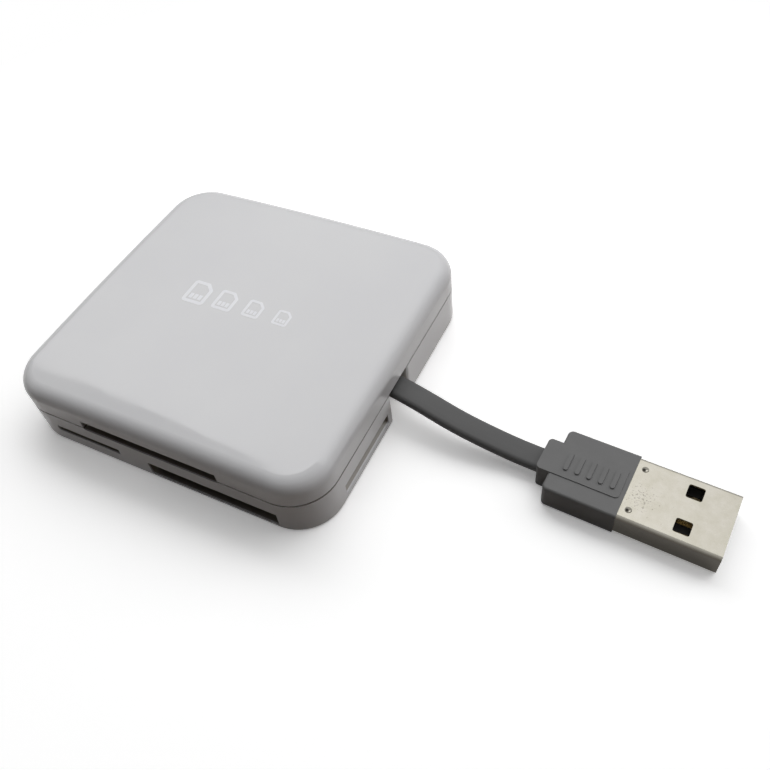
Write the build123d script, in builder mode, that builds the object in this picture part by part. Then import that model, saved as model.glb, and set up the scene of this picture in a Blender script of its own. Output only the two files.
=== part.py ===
from build123d import *
import os
from dataclasses import dataclass
from math import cos, radians, sin, tan

# Memory card reader: a low square case in two moulded halves, with card slots on two sides,
# one board inside, and a short flat lead to a plug. Millimetres, +Z up.
# The origin is the middle of the case's underside. The three-slot side faces -Y, the lead leaves at +X.

# Case, outside
case_width = 62.0
case_depth = 59.0
case_height = 13.8
corner_radius = 7.8
crown_radius = 900.0
top_edge_radius = 2.5
base_edge_radius = 0.8
parting_height = 7.7
parting_bevel = 0.1
parting_groove_height = 0.3
parting_groove_depth = 0.35

# Case, walls and the tongue between the two halves
wall = 1.5
floor_thickness = 0.9
ceiling_thickness = 1.8
ceiling_edge_radius = 1.5
lip_thickness = 0.7
lip_height = 1.0
lip_side_play = 0.05
lip_end_play = 0.1

# Posts in the lower half, with pins of the upper half pressed through the board into them
post_radius = 2.1
post_angle = 28.0
post_wall_gap = 0.15
pin_radius = 0.95
pin_reach = 2.0
pin_hole_play = 0.05
pin_end_play = 0.4
board_hole_play = 0.15

# Ribs of the lower half, under the middle of the board
rib_length = 34.0
rib_thickness = 1.0
rib_places = (4.0, 16.0)

# Circuit board
board_thickness = 1.0
board_margin = 0.8
board_notch_play = 0.5
board_notch_clear = 2.0

# Card sockets, sizes that all four share
card_play = 0.1
socket_setback = 0.3
socket_back = 0.9
socket_floor_gap = 0.2
socket_side_gap = 0.15
socket_post_gap = 0.85
shell_sheet = 0.2
shell_bend = 0.15
shell_window_length = 3.2
shell_window_width = 2.8
shell_foot_length = 1.4
shell_foot_reach = 0.45
contact_sheet = 0.15
contact_width = 0.45
contact_lift = 0.35
contact_hook = 0.6
contact_tip_gap = 0.3
contact_tail = 0.8
contact_slot_play = 0.05
contact_slot_bridge = 1.0
mouth_margin = 0.1

# Large flat card, on top of the board
upper_card_width = 24.0
upper_card_thickness = 2.1
upper_socket_place = -0.65
upper_socket_depth = 19.0
upper_socket_deck = 1.2
upper_socket_rail = 1.5
upper_mouth_width = 27.7
upper_contact_count = 9
upper_contact_pitch = 2.5
upper_contact_length = 6.5

# Smallest card, under the board at the left
micro_card_width = 11.0
micro_card_thickness = 1.0
micro_room_share = 0.277
micro_socket_depth = 12.5
micro_socket_deck = 0.7
micro_socket_rail = 1.1
micro_mouth_width = 13.8
micro_contact_count = 8
micro_contact_pitch = 1.1
micro_contact_length = 5.0

# Stick card, under the board in the middle
stick_card_width = 21.5
stick_card_thickness = 2.8
stick_socket_depth = 19.0
stick_socket_deck = 1.0
stick_socket_rail = 0.9
stick_mouth_width = 25.6
stick_mouth_shift = 0.85
stick_contact_count = 10
stick_contact_pitch = 1.9
stick_contact_length = 6.0

# Small stick card, under the board at the lead's side
side_card_width = 12.5
side_card_thickness = 1.2
side_socket_depth = 5.2
side_socket_deck = 1.2
side_socket_rail = 1.1
side_mouth_width = 15.5
side_contact_count = 11
side_contact_pitch = 1.05
side_contact_length = 3.6
side_lead_in = 0.7

# Notch and pocket where the lead leaves the case, beside the side socket
notch_socket_gap = 0.55
notch_width = 5.8
notch_rounding = 1.0
pocket_length = 2.1
pocket_wall = 1.2
pocket_ceiling = 0.9
saddle_length = 2.2
saddle_reach = 6.3
saddle_drop = 0.3
clamp_rib_length = 1.8
clamp_rib_width = 4.0

# Flat lead
lead_width = 4.4
lead_thickness = 1.8
lead_edge_radius = 0.75
lead_top_gap = 0.6
lead_inner_reach = 6.7
lead_straight_stop = 1.0
lead_notch_shift = 0.15
lead_last_run = 2.8

# Plug: place of the joint between its grip and its metal, and turn on the table
plug_x = 71.93
plug_y = -3.42
plug_turn = -3.44
grip_wall = 0.2
grip_length = 11.9
grip_corner = 0.9
grip_edge = 0.45
neck_width = 6.1
neck_length = 2.2
neck_corner = 0.7
band_height = 0.15
band_setback = 0.7
grip_rib_count = 5
grip_rib_pitch = 1.9
grip_rib_length = 3.6
grip_rib_width = 0.7
grip_rib_height = 0.25
tube_width = 12.0
tube_height = 4.5
tube_length = 15.67
tube_buried = 4.0
tube_sheet = 0.3
tube_fold = 0.6
tube_seam = 0.12
latch_hole = 2.5
latch_hole_corner = 0.35
latch_hole_side = 3.25
latch_hole_from_tip = 6.41
dimple_radius = 0.55
dimple_depth = 0.24
dimple_side = 4.0
dimple_from_grip = 1.3
tongue_side_play = 0.1
tongue_edge = 0.4
tongue_thickness = 1.84
tongue_setback = 0.9
tongue_block_reach = 3.4
plug_contact_width = 1.0
plug_contact_sheet = 0.25
plug_contact_proud = 0.05
power_contact_side = 3.5
data_contact_side = 1.0
power_contact_from_tip = 1.6
data_contact_from_tip = 2.6

# Small parts on the board
chip_size = 7.0
chip_height = 1.2
chip_clear = 0.1
chip_place = (3.0, 8.0)
chip_lead_count = 12
chip_lead_pitch = 0.5
chip_lead_width = 0.22
chip_lead_sheet = 0.12
chip_lead_shoulder = 0.35
chip_lead_drop = 0.2
chip_lead_reach = 1.0
crystal_length = 11.0
crystal_width = 4.6
crystal_height = 3.4
crystal_flange = 0.4
crystal_edge = 0.6
crystal_place = (-14.0, 12.0)
led_length = 3.2
led_width = 1.6
led_base = 0.6
led_lens_radius = 0.7
led_side = 14.0
led_from_back = 6.2
capacitor_length = 1.6
capacitor_width = 0.8
capacitor_height = 0.8
capacitor_row = (3.0, 1.5)
capacitor_pitch = 2.6
capacitor_count = 6
resistor_length = 1.6
resistor_width = 0.8
resistor_height = 0.45
resistor_row = (3.0, 15.5)
resistor_pitch = 2.2
resistor_count = 6
regulator_length = 2.9
regulator_width = 1.3
regulator_height = 1.0
regulator_side = -9.0
regulator_from_back = 7.2
regulator_lead_width = 0.4
regulator_lead_sheet = 0.12
regulator_lead_reach = 0.6
regulator_lead_pitch = 0.95

# Cores of the lead, soldered to the board
core_radius = 0.4
core_pitch = 0.95
core_straight = 0.8
core_hump = 1.6
core_hump_reach = 2.4
core_bend = 0.55
core_end_gap = 0.05
pad_pitch = 2.0
pad_inset = 3.4
solder_length = 1.5
solder_width = 1.1
solder_height = 0.9
solder_edge = 0.3

# Share of a lead's shorter run that an arc at its corner may take
arc_share = 0.45

# Levels and inside sizes that follow from the above
stick_stack = stick_socket_deck + stick_card_thickness + card_play + shell_sheet
board_underside = floor_thickness + socket_floor_gap + stick_stack
board_top = board_underside + board_thickness
ceiling_height = case_height - ceiling_thickness
inner_width = case_width - 2 * wall
inner_depth = case_depth - 2 * wall
inner_radius = corner_radius - wall
lip_inset = wall - lip_thickness
post_swing = inner_radius - post_radius - post_wall_gap
post_span_x = case_width - 2 * corner_radius + 2 * post_swing * cos(radians(post_angle))
post_span_y = case_depth - 2 * corner_radius + 2 * post_swing * sin(radians(post_angle))
side_wall_inside = case_width / 2 - wall
front_wall_inside = case_depth / 2 - wall
lead_level = parting_height - lead_top_gap - lead_thickness / 2
lead_inner_end = side_wall_inside - lead_inner_reach
board_notch_end = lead_inner_end - board_notch_clear
pad_place = board_notch_end - pad_inset
board_width = inner_width - 2 * board_margin
board_depth = inner_depth - 2 * board_margin


# What each socket is made from: its seat lies on the board in the middle of the mouth,
# with y running into the case and z away from the board.
@dataclass
class Socket:
    seat: Plane
    card_width: float
    card_thickness: float
    depth: float
    deck: float
    rail: float
    mouth_width: float
    mouth_shift: float
    contact_count: int
    contact_pitch: float
    contact_length: float

    @property
    def bay_width(self):
        return self.card_width + 2 * card_play

    @property
    def bay_top(self):
        return self.deck + self.card_thickness + card_play

    @property
    def width(self):
        return self.bay_width + 2 * self.rail

    @property
    def length(self):
        return self.depth + socket_back

    @property
    def slot_width(self):
        return self.contact_pitch * self.contact_count


# Half the width of a socket on the board, with its solder feet
def half_width(card_width, rail):
    return card_width / 2 + card_play + rail + shell_sheet + shell_foot_reach


# The side socket stands beside the front post, and the notch beside the side socket
socket_front = -front_wall_inside + socket_setback
side_half_width = half_width(side_card_width, side_socket_rail)
side_socket_place = post_radius - post_span_y / 2 + socket_post_gap + side_half_width
block_width = notch_width + 2 * pocket_wall
notch_place = side_socket_place + side_half_width + notch_socket_gap + block_width / 2
lead_inner_place = notch_place + lead_notch_shift

# The stick card's socket stands beside the contact tails of the side socket,
# and the smallest card's socket in the room left between it and the other front post
side_socket_end = side_wall_inside - socket_setback - side_socket_depth - socket_back - contact_tail
stick_half_width = half_width(stick_card_width, stick_socket_rail)
stick_socket_place = side_socket_end - socket_side_gap - stick_half_width
micro_half_width = half_width(micro_card_width, micro_socket_rail)
micro_room_start = post_radius - post_span_x / 2
micro_room = stick_socket_place - stick_half_width - micro_room_start - 2 * micro_half_width
micro_socket_place = micro_room_start + micro_room_share * micro_room + micro_half_width

upper_socket = Socket(
    Plane((upper_socket_place, socket_front, board_top), x_dir=(1, 0, 0), z_dir=(0, 0, 1)),
    upper_card_width, upper_card_thickness, upper_socket_depth, upper_socket_deck, upper_socket_rail,
    upper_mouth_width, 0, upper_contact_count, upper_contact_pitch, upper_contact_length)

micro_socket = Socket(
    Plane((micro_socket_place, socket_front, board_underside), x_dir=(-1, 0, 0), z_dir=(0, 0, -1)),
    micro_card_width, micro_card_thickness, micro_socket_depth, micro_socket_deck, micro_socket_rail,
    micro_mouth_width, 0, micro_contact_count, micro_contact_pitch, micro_contact_length)

stick_socket = Socket(
    Plane((stick_socket_place, socket_front, board_underside), x_dir=(-1, 0, 0), z_dir=(0, 0, -1)),
    stick_card_width, stick_card_thickness, stick_socket_depth, stick_socket_deck, stick_socket_rail,
    stick_mouth_width, -stick_mouth_shift,
    stick_contact_count, stick_contact_pitch, stick_contact_length)

side_socket = Socket(
    Plane((side_wall_inside - socket_setback, side_socket_place, board_underside),
          x_dir=(0, -1, 0), z_dir=(0, 0, -1)),
    side_card_width, side_card_thickness, side_socket_depth, side_socket_deck, side_socket_rail,
    side_mouth_width, 0, side_contact_count, side_contact_pitch, side_contact_length)

sockets = {"upper": upper_socket, "micro": micro_socket, "stick": stick_socket, "side": side_socket}


# A card's way through the case wall, in front of its socket
def mouth_cutter(socket):
    with BuildPart() as cutter:
        with BuildSketch(socket.seat.offset(socket.deck - mouth_margin)):
            with Locations((socket.mouth_shift, 0)):
                Rectangle(socket.mouth_width, 2 * (wall + socket_setback), align=(Align.CENTER, Align.MAX))
        extrude(amount=socket.card_thickness + card_play + 2 * mouth_margin)
    return cutter.part


mouths = {name: mouth_cutter(socket) for name, socket in sockets.items()}

# Sloped lower lip that guides a card into the side mouth
side_mouth_floor = side_socket.bay_top + mouth_margin
side_lip_section = Plane(
    side_socket.seat.from_local_coords((-side_mouth_width / 2, 0, 0)),
    x_dir=side_socket.seat.y_dir, z_dir=side_socket.seat.x_dir)
with BuildPart() as side_lip:
    with BuildSketch(side_lip_section):
        with BuildLine():
            Polyline(
                (-socket_setback, side_mouth_floor),
                (-socket_setback - wall, side_mouth_floor),
                (-socket_setback - wall, side_mouth_floor + side_lead_in),
                close=True)
        make_face()
    extrude(amount=side_mouth_width)

# Lower half of the case: tub with an upright lip, posts, ribs, the lead's pocket and the mouths
notch_middle = (case_width / 2, notch_place)
block_top = lead_level - lead_thickness / 2 - saddle_drop
block_start = side_wall_inside - saddle_reach

with BuildPart() as bottom_cover:
    with BuildSketch():
        RectangleRounded(case_width, case_depth, corner_radius)
    extrude(amount=parting_height)
    fillet(bottom_cover.faces().sort_by(Axis.Z)[0].edges(), base_edge_radius)
    chamfer(bottom_cover.faces().sort_by(Axis.Z)[-1].edges(), parting_bevel)
    with BuildSketch(Plane.XY.offset(parting_height)):
        RectangleRounded(case_width - 2 * lip_inset, case_depth - 2 * lip_inset, corner_radius - lip_inset)
    extrude(amount=lip_height)
    with BuildSketch(Plane.XY.offset(floor_thickness)):
        RectangleRounded(inner_width, inner_depth, inner_radius)
    extrude(amount=parting_height + lip_height - floor_thickness, mode=Mode.SUBTRACT)
    with BuildSketch(Plane.XY.offset(floor_thickness)):
        with GridLocations(post_span_x, post_span_y, 2, 2):
            Circle(post_radius)
        with Locations(*[(0, y) for y in rib_places]):
            Rectangle(rib_length, rib_thickness)
    extrude(amount=board_underside - floor_thickness)
    with BuildSketch(Plane.XY.offset(floor_thickness)):
        with Locations((block_start, notch_place)):
            Rectangle(saddle_reach, block_width, align=(Align.MIN, Align.CENTER))
    extrude(amount=block_top - floor_thickness)
    with BuildSketch(Plane.XY.offset(block_top)):
        with Locations((block_start, notch_place)):
            Rectangle(saddle_length, block_width, align=(Align.MIN, Align.CENTER))
    extrude(amount=saddle_drop)
    with BuildSketch(Plane.XY.offset(board_underside)):
        with GridLocations(post_span_x, post_span_y, 2, 2):
            Circle(pin_radius + pin_hole_play)
    extrude(amount=-pin_reach - pin_end_play, mode=Mode.SUBTRACT)
    with BuildSketch():
        with Locations(notch_middle):
            Rectangle(wall, notch_width, align=(Align.MAX, Align.CENTER))
            Rectangle(notch_rounding, notch_width + 2 * notch_rounding, align=(Align.MAX, Align.CENTER))
        with Locations((case_width / 2 - notch_rounding, notch_place)):
            with GridLocations(0, notch_width + 2 * notch_rounding, 1, 2):
                Circle(notch_rounding, mode=Mode.SUBTRACT)
    extrude(amount=parting_height + lip_height, mode=Mode.SUBTRACT)
    with BuildSketch():
        with Locations((side_wall_inside, notch_place)):
            Rectangle(pocket_length, notch_width, align=(Align.MAX, Align.CENTER))
    extrude(amount=block_top - pocket_ceiling, mode=Mode.SUBTRACT)
    for mouth in mouths.values():
        add(mouth, mode=Mode.SUBTRACT)
    add(side_lip.part, mode=Mode.SUBTRACT)
bottom_cover.part.label = "bottom_cover"

# Hollow of the upper half, with rounded upper edges
with BuildPart() as hollow:
    with BuildSketch(Plane.XY.offset(parting_height)):
        RectangleRounded(inner_width, inner_depth, inner_radius)
    extrude(amount=ceiling_height - parting_height)
    fillet(hollow.faces().sort_by(Axis.Z)[-1].edges(), ceiling_edge_radius)

# Upper half of the case: crowned lid with a soft edge, a foot groove, a rebate for the lip, bosses, pins
with BuildPart() as top_cover:
    with BuildSketch(Plane.XY.offset(parting_height)):
        RectangleRounded(case_width, case_depth, corner_radius)
    extrude(amount=case_height - parting_height)
    with Locations((0, 0, case_height - crown_radius)):
        Sphere(crown_radius, mode=Mode.INTERSECT)
    fillet(top_cover.faces().sort_by(Axis.Z)[-1].edges(), top_edge_radius)
    with BuildSketch(Plane.XY.offset(parting_height)):
        RectangleRounded(case_width, case_depth, corner_radius)
        RectangleRounded(case_width - 2 * parting_groove_depth, case_depth - 2 * parting_groove_depth,
                         corner_radius - parting_groove_depth, mode=Mode.SUBTRACT)
    extrude(amount=parting_groove_height, mode=Mode.SUBTRACT)
    add(hollow.part, mode=Mode.SUBTRACT)
    rebate_inset = lip_inset - lip_side_play
    with BuildSketch(Plane.XY.offset(parting_height)):
        RectangleRounded(case_width - 2 * rebate_inset, case_depth - 2 * rebate_inset,
                         corner_radius - rebate_inset)
    extrude(amount=lip_height + lip_end_play, mode=Mode.SUBTRACT)
    with BuildSketch(Plane.XY.offset(board_top)):
        with GridLocations(post_span_x, post_span_y, 2, 2):
            Circle(post_radius)
    extrude(amount=ceiling_height - board_top)
    with BuildSketch(Plane.XY.offset(board_top)):
        with GridLocations(post_span_x, post_span_y, 2, 2):
            Circle(pin_radius)
    extrude(amount=-board_thickness - pin_reach)
    with BuildSketch(Plane.XY.offset(lead_level + lead_thickness / 2)):
        with Locations((block_start + saddle_length / 2, lead_inner_place)):
            Rectangle(clamp_rib_length, clamp_rib_width)
    extrude(amount=ceiling_height - lead_level - lead_thickness / 2)
    add(mouths["upper"], mode=Mode.SUBTRACT)
top_cover.part.label = "top_cover"

# Circuit board, clamped between posts and bosses, cut away round the lead
with BuildPart() as circuit_board:
    with BuildSketch(Plane.XY.offset(board_underside)):
        RectangleRounded(board_width, board_depth, inner_radius - board_margin)
        with GridLocations(post_span_x, post_span_y, 2, 2):
            Circle(pin_radius + board_hole_play, mode=Mode.SUBTRACT)
        with Locations((board_notch_end, notch_place)):
            Rectangle(board_width / 2 - board_notch_end, block_width + 2 * board_notch_play,
                      align=(Align.MIN, Align.CENTER), mode=Mode.SUBTRACT)
    extrude(amount=board_thickness)
circuit_board.part.label = "circuit_board"


# Moulded body of a card socket: a tray open at the mouth, with a window for the contact springs
def socket_base(socket):
    with BuildPart() as base:
        with BuildSketch(socket.seat):
            Rectangle(socket.width, socket.length, align=(Align.CENTER, Align.MIN))
        extrude(amount=socket.bay_top)
        with BuildSketch(socket.seat.offset(socket.deck)):
            Rectangle(socket.bay_width, socket.depth, align=(Align.CENTER, Align.MIN))
        extrude(amount=socket.bay_top - socket.deck, mode=Mode.SUBTRACT)
        with BuildSketch(socket.seat):
            with Locations((0, socket.depth - contact_slot_bridge)):
                Rectangle(socket.slot_width, socket.contact_length, align=(Align.CENTER, Align.MAX))
        extrude(amount=socket.deck, mode=Mode.SUBTRACT)
        with BuildSketch(socket.seat):
            with Locations((0, socket.length)):
                Rectangle(socket.slot_width, socket_back + contact_slot_bridge,
                          align=(Align.CENTER, Align.MAX))
        extrude(amount=contact_sheet + contact_slot_play, mode=Mode.SUBTRACT)
    return base.part


# Folded sheet cover of a card socket: a plate with two skirts, stamped windows and solder feet
def socket_shell(socket):
    outer_width = socket.width + 2 * shell_sheet
    section = Plane(socket.seat.origin, x_dir=-socket.seat.x_dir, z_dir=socket.seat.y_dir)
    with BuildPart() as shell:
        with BuildSketch(section) as folded:
            Rectangle(outer_width, socket.bay_top + shell_sheet, align=(Align.CENTER, Align.MIN))
            fillet(folded.vertices().group_by(Axis.Y)[-1], shell_bend)
            Rectangle(socket.width, socket.bay_top, align=(Align.CENTER, Align.MIN), mode=Mode.SUBTRACT)
        extrude(amount=socket.length)
        with BuildSketch(socket.seat.offset(socket.bay_top)):
            with Locations((0, socket.length / 2)):
                with GridLocations(socket.bay_width / 2, 0, 2, 1):
                    Rectangle(shell_window_width, shell_window_length)
        extrude(amount=shell_sheet, mode=Mode.SUBTRACT)
        with BuildSketch(socket.seat):
            with Locations((0, socket.length / 2)):
                with GridLocations(outer_width + shell_foot_reach, socket.length - shell_foot_length, 2, 2):
                    Rectangle(shell_foot_reach, shell_foot_length)
        extrude(amount=shell_sheet)
    return shell.part


# Row of bent spring contacts: tails on the board, tips standing up into the card's bay
def socket_contacts(socket):
    first = -socket.contact_pitch * (socket.contact_count - 1) / 2 - contact_width / 2
    sections = [
        Plane(socket.seat.from_local_coords((first + i * socket.contact_pitch, 0, 0)),
              x_dir=socket.seat.y_dir, z_dir=socket.seat.x_dir)
        for i in range(socket.contact_count)]
    window_end = socket.depth - contact_slot_bridge
    tip = window_end - socket.contact_length + contact_tip_gap
    crest = tip + contact_hook
    lower = [
        (socket.length + contact_tail, 0),
        (window_end - contact_tip_gap, 0),
        (crest, socket.deck + contact_lift),
        (tip, socket.deck - contact_sheet)]
    upper = [(y, z + contact_sheet) for y, z in reversed(lower)]
    with BuildPart() as contacts:
        with BuildSketch(*sections):
            with BuildLine():
                Polyline(*lower, *upper, close=True)
            make_face()
        extrude(amount=contact_width)
    return contacts.part


socket_pieces = {}
for name, socket in sockets.items():
    socket_pieces[f"{name}_socket_base"] = socket_base(socket)
    socket_pieces[f"{name}_socket_shell"] = socket_shell(socket)
    socket_pieces[f"{name}_socket_contacts"] = socket_contacts(socket)
for name, piece in socket_pieces.items():
    piece.label = name

# Controller chip and its bent leads
with BuildPart() as controller_chip:
    with BuildSketch(Plane.XY.offset(board_top + chip_clear)):
        with Locations(chip_place):
            Rectangle(chip_size, chip_size)
    extrude(amount=chip_height)
controller_chip.part.label = "controller_chip"

chip_seat = Plane((*chip_place, board_top))
lead_rise = chip_clear + chip_height / 2
chip_lead_line = [
    (0, lead_rise), (chip_lead_shoulder, lead_rise),
    (chip_lead_shoulder + chip_lead_drop, 0), (chip_lead_reach, 0)]
chip_lead_sections = []
for quarter in range(4):
    side = chip_seat.rotated((0, 0, 90 * quarter))
    for i in range(chip_lead_count):
        across = (i - (chip_lead_count - 1) / 2) * chip_lead_pitch + chip_lead_width / 2
        chip_lead_sections.append(Plane(
            side.from_local_coords((chip_size / 2, across, 0)), x_dir=side.x_dir, z_dir=-side.y_dir))
with BuildPart() as controller_leads:
    with BuildSketch(*chip_lead_sections):
        with BuildLine():
            Polyline(*chip_lead_line, *[(u, z + chip_lead_sheet) for u, z in reversed(chip_lead_line)],
                     close=True)
        make_face()
    extrude(amount=chip_lead_width)
controller_leads.part.label = "controller_leads"

# Crystal in its drawn metal can
with BuildPart() as crystal:
    with BuildSketch(Plane.XY.offset(board_top)):
        with Locations(crystal_place):
            SlotOverall(crystal_length, crystal_width)
    extrude(amount=crystal_flange)
    with BuildSketch(Plane.XY.offset(board_top + crystal_flange)):
        with Locations(crystal_place):
            SlotOverall(crystal_length - 2 * crystal_flange, crystal_width - 2 * crystal_flange)
    extrude(amount=crystal_height - crystal_flange)
    fillet(crystal.faces().sort_by(Axis.Z)[-1].edges(), crystal_edge)
crystal.part.label = "crystal"

# Indicator lamp, a moulded chip with a half-round lens
led_place = (led_side, board_depth / 2 - led_from_back)
with BuildPart() as status_lamp:
    with BuildSketch(Plane.XY.offset(board_top)):
        with Locations(led_place):
            Rectangle(led_length, led_width)
    extrude(amount=led_base)
    with BuildSketch(Plane((led_place[0], led_place[1] - led_width / 2, board_top + led_base),
                           x_dir=(1, 0, 0), z_dir=(0, 1, 0))):
        Circle(led_lens_radius)
        with Locations((0, led_lens_radius)):
            Rectangle(2 * led_lens_radius, 2 * led_lens_radius, mode=Mode.SUBTRACT)
    extrude(amount=led_width)
status_lamp.part.label = "status_lamp"

# Rows of chip capacitors and chip resistors
with BuildPart() as capacitors:
    with BuildSketch(Plane.XY.offset(board_top)):
        with Locations(capacitor_row):
            with GridLocations(capacitor_pitch, 0, capacitor_count, 1):
                Rectangle(capacitor_width, capacitor_length)
    extrude(amount=capacitor_height)
capacitors.part.label = "capacitors"

with BuildPart() as resistors:
    with BuildSketch(Plane.XY.offset(board_top)):
        with Locations(resistor_row):
            with GridLocations(resistor_pitch, 0, resistor_count, 1):
                Rectangle(resistor_width, resistor_length)
    extrude(amount=resistor_height)
resistors.part.label = "resistors"

# Voltage regulator on three flat legs, moulded in one
regulator_place = (regulator_side, board_depth / 2 - regulator_from_back)
with BuildPart() as regulator:
    with BuildSketch(Plane.XY.offset(board_top + regulator_lead_sheet)):
        with Locations(regulator_place):
            Rectangle(regulator_length, regulator_width)
    extrude(amount=regulator_height)
    with BuildSketch(Plane.XY.offset(board_top)):
        with Locations((regulator_place[0], regulator_place[1] - regulator_width / 2)):
            with GridLocations(2 * regulator_lead_pitch, 0, 2, 1):
                Rectangle(regulator_lead_width, 2 * regulator_lead_reach)
        with Locations((regulator_place[0], regulator_place[1] + regulator_width / 2)):
            Rectangle(regulator_lead_width, 2 * regulator_lead_reach)
    extrude(amount=regulator_lead_sheet)
regulator.part.label = "regulator"


# Largest tangent arcs that the runs of a route have room for
def route_radii(points):
    corners = [Vector(*point) for point in points]
    runs = [b - a for a, b in zip(corners, corners[1:])]
    return [
        arc_share * min(a.length, b.length) / tan(radians(a.get_angle(b)) / 2)
        for a, b in zip(runs, runs[1:])]


# Plug: a plan at table level with x along the plug, and a cross-section looking out of the grip
plug_axis = (cos(radians(plug_turn)), sin(radians(plug_turn)), 0)
plug_plan = Plane((plug_x, plug_y, 0), x_dir=plug_axis, z_dir=(0, 0, 1))
grip_width = tube_width + 2 * grip_wall
grip_height = tube_height + 2 * grip_wall
plug_level = grip_height / 2
plug_front = Plane(plug_plan.from_local_coords((0, 0, plug_level)), x_dir=plug_plan.y_dir, z_dir=plug_axis)
grip_back = -grip_length - neck_length

# Moulded grip: block and neck in one, a raised band along the top with grip ribs, a pocket for the metal
with BuildPart() as plug_grip:
    with BuildSketch(plug_plan) as grip_outline:
        Rectangle(grip_length, grip_width, align=(Align.MAX, Align.CENTER))
        fillet(grip_outline.vertices().group_by(Axis.X)[0], grip_corner)
    extrude(amount=grip_height)
    long_edges = plug_grip.edges().filter_by(Axis((0, 0, 0), plug_axis))
    fillet(long_edges, grip_edge)
    with BuildSketch(plug_plan) as neck_outline:
        with Locations((grip_back, 0)):
            Rectangle(neck_length + grip_corner, neck_width, align=(Align.MIN, Align.CENTER))
        fillet(neck_outline.vertices().group_by(Axis.X)[0], neck_corner)
    extrude(amount=grip_height)
    with BuildSketch(plug_plan.offset(grip_height)) as band_outline:
        with Locations((grip_back, 0)):
            Rectangle(-grip_back - band_setback, neck_width, align=(Align.MIN, Align.CENTER))
        fillet(band_outline.vertices(), neck_corner)
    extrude(amount=band_height)
    with BuildSketch(plug_plan.offset(grip_height + band_height)):
        with Locations((-grip_length / 2, 0)):
            with GridLocations(grip_rib_pitch, 0, grip_rib_count, 1):
                SlotOverall(grip_rib_length, grip_rib_width, rotation=90)
    extrude(amount=grip_rib_height)
    with BuildSketch(plug_front):
        RectangleRounded(tube_width, tube_height, tube_fold)
    extrude(amount=-tube_buried, mode=Mode.SUBTRACT)
plug_grip.part.label = "plug_grip"

# Folded metal tube of the plug, with its seam below, latch holes above and below, and two punched dimples
with BuildPart() as plug_tube:
    with BuildSketch(plug_front.offset(-tube_buried)):
        RectangleRounded(tube_width, tube_height, tube_fold)
        RectangleRounded(tube_width - 2 * tube_sheet, tube_height - 2 * tube_sheet, tube_fold - tube_sheet,
                         mode=Mode.SUBTRACT)
        with Locations((0, (tube_sheet - tube_height) / 2)):
            Rectangle(tube_seam, 2 * tube_sheet, mode=Mode.SUBTRACT)
    extrude(amount=tube_buried + tube_length)
    with BuildSketch(plug_plan):
        with Locations((tube_length - latch_hole_from_tip, 0)):
            with GridLocations(0, 2 * latch_hole_side, 1, 2):
                RectangleRounded(latch_hole, latch_hole, latch_hole_corner)
    extrude(amount=grip_height, mode=Mode.SUBTRACT)
    punch_radius = (dimple_radius**2 + dimple_depth**2) / (2 * dimple_depth)
    with Locations(plug_plan.offset(plug_level + tube_height / 2 + punch_radius - dimple_depth)):
        with Locations(*[(dimple_from_grip, side) for side in (-dimple_side, dimple_side)]):
            Sphere(punch_radius, mode=Mode.SUBTRACT)
plug_tube.part.label = "plug_tube"

# Insulator of the plug: a block at the back and a tongue on the lower side, grooved for the contacts
cavity_height = tube_height - 2 * tube_sheet
tongue_width = tube_width - 2 * tube_sheet - 2 * tongue_side_play
tongue_top = tongue_thickness - cavity_height / 2
groove_depth = plug_contact_sheet - plug_contact_proud
contact_rows = [
    (power_contact_side, power_contact_from_tip), (-power_contact_side, power_contact_from_tip),
    (data_contact_side, data_contact_from_tip), (-data_contact_side, data_contact_from_tip)]
contact_start = tongue_block_reach
with BuildPart() as plug_contacts:
    for side, from_tip in contact_rows:
        with BuildSketch(plug_front.offset(contact_start)):
            with Locations((side, tongue_top - groove_depth)):
                Rectangle(plug_contact_width, plug_contact_sheet, align=(Align.CENTER, Align.MIN))
        extrude(amount=tube_length - from_tip - contact_start)
plug_contacts.part.label = "plug_contacts"

with BuildPart() as plug_tongue:
    with BuildSketch(plug_front.offset(-tube_buried)):
        RectangleRounded(tongue_width, cavity_height, tongue_edge)
    extrude(amount=tube_buried + tongue_block_reach)
    with BuildSketch(plug_front.offset(tongue_block_reach)) as tongue_section:
        with Locations((0, -cavity_height / 2)):
            Rectangle(tongue_width, tongue_thickness, align=(Align.CENTER, Align.MIN))
        fillet(tongue_section.vertices().group_by(Axis.Y)[0], tongue_edge)
    extrude(amount=tube_length - tongue_setback - tongue_block_reach)
    add(plug_contacts.part, mode=Mode.SUBTRACT)
plug_tongue.part.label = "plug_tongue"

# Flat lead: straight in the clamp, then in one easy fall to the table and into the plug's neck
neck_face = plug_plan.from_local_coords((grip_back, 0, plug_level))
neck_run = plug_plan.from_local_coords((grip_back - lead_last_run, 0, plug_level))
lead_points = [
    (lead_inner_end, lead_inner_place, lead_level),
    (side_wall_inside - lead_straight_stop, lead_inner_place, lead_level),
    (35.5, -0.95, 5.95),
    (42.5, -2.05, 4.75),
    (48.0, -2.28, 3.62),
    (52.0, -2.28, 2.75),
    tuple(neck_run),
    tuple(neck_face)]
lead_radii = route_radii(lead_points)
with BuildPart() as flat_lead:
    with BuildLine() as lead_path:
        FilletPolyline(*lead_points, radius=lead_radii)
    with BuildSketch(Plane(lead_points[0], x_dir=(0, 1, 0), z_dir=(1, 0, 0))):
        RectangleRounded(lead_width, lead_thickness, lead_edge_radius)
    sweep(path=lead_path.wires()[0])
flat_lead.part.label = "flat_lead"
lead_section = RectangleRounded(lead_width, lead_thickness, lead_edge_radius, mode=Mode.PRIVATE).area
print("lead radii", [round(radius, 1) for radius in lead_radii])
print("lead length", round(lead_path.wires()[0].length, 2))
print("lead volume over section times length",
      round(flat_lead.part.volume / (lead_section * lead_path.wires()[0].length), 4))

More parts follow.
